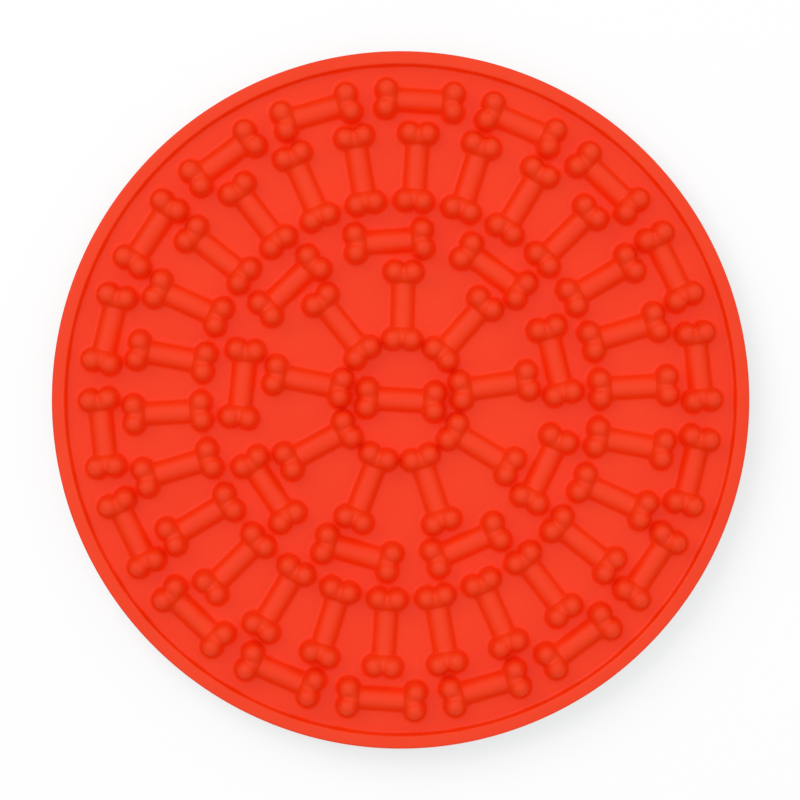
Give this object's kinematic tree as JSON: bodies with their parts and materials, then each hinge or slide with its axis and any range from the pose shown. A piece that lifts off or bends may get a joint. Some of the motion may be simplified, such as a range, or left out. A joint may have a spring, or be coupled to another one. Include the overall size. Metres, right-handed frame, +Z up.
{
  "type": "lick mat",
  "caption": "Round silicone lick mat with rings of raised bones that hold spread food for a pet, a low rim, and suction cups underneath.",
  "frame": {"origin": "centre of the plane that the suction cups stand on", "axes": "+Z up out of the licking face, +Y towards the top of the picture, +X to its right"},
  "size_m": [0.2, 0.2, 0.0126],
  "materials": {
    "silicone": "satin"
  },
  "bodies": {
    "root": {"base_sheet": "silicone", "raised_rim": "silicone", "centre_bone": "silicone", "inner_bone_1": "silicone", "inner_bone_2": "silicone", "inner_bone_3": "silicone", "inner_bone_4": "silicone", "inner_bone_5": "silicone", "inner_bone_6": "silicone", "inner_bone_7": "silicone", "inner_bone_8": "silicone", "inner_bone_9": "silicone", "middle_bone_1": "silicone", "middle_bone_2": "silicone", "middle_bone_3": "silicone", "middle_bone_4": "silicone", "middle_bone_5": "silicone", "middle_bone_6": "silicone", "middle_bone_7": "silicone", "middle_bone_8": "silicone", "middle_bone_9": "silicone", "spoke_bones": "silicone", "outer_bone_1": "silicone", "outer_bone_2": "silicone", "outer_bone_3": "silicone", "outer_bone_4": "silicone", "outer_bone_5": "silicone", "outer_bone_6": "silicone", "outer_bone_7": "silicone", "outer_bone_8": "silicone", "outer_bone_9": "silicone", "outer_bone_10": "silicone", "outer_bone_11": "silicone", "outer_bone_12": "silicone", "outer_bone_13": "silicone", "outer_bone_14": "silicone", "outer_bone_15": "silicone", "outer_bone_16": "silicone", "outer_bone_17": "silicone", "outer_bone_18": "silicone", "centre_cup": "silicone", "cup_ring_1": "silicone", "cup_ring_2": "silicone", "cup_ring_3": "silicone"}
  },
  "joints": []
}
